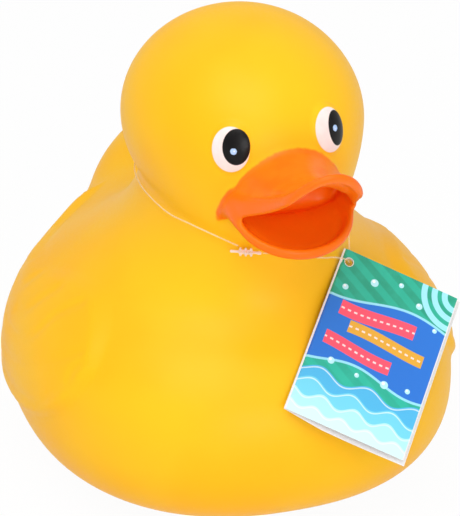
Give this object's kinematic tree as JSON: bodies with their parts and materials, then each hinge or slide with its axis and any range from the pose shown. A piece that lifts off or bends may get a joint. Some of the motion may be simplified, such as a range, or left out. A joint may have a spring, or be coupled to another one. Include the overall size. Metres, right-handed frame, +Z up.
{
  "type": "rubber duck",
  "caption": "Large hollow vinyl bath duck with an open bill, raised eyes and wings, a base squeaker and a folded card hang tag on a plastic loop.",
  "frame": {"origin": "on the ground, under the middle of the duck's box", "axes": "+Z up, the bill points along -Y, the duck's left side is +X"},
  "size_m": [0.2012, 0.2725, 0.2094],
  "materials": {
    "yellow_vinyl": "soft vinyl, satin, with a sprayed orange bill and painted eyes",
    "white_plastic": "moulded",
    "reed_plastic": "moulded",
    "coated_card": "printed and lightly coated card",
    "clear_nylon": "clear filament",
    "lock_nylon": "milky moulding"
  },
  "bodies": {
    "root": {"duck_shell": "yellow_vinyl", "squeaker_housing": "white_plastic", "squeaker_reed": "reed_plastic", "hang_tag": "coated_card", "tag_loop": "clear_nylon", "tag_loop_lock": "lock_nylon"}
  },
  "joints": []
}
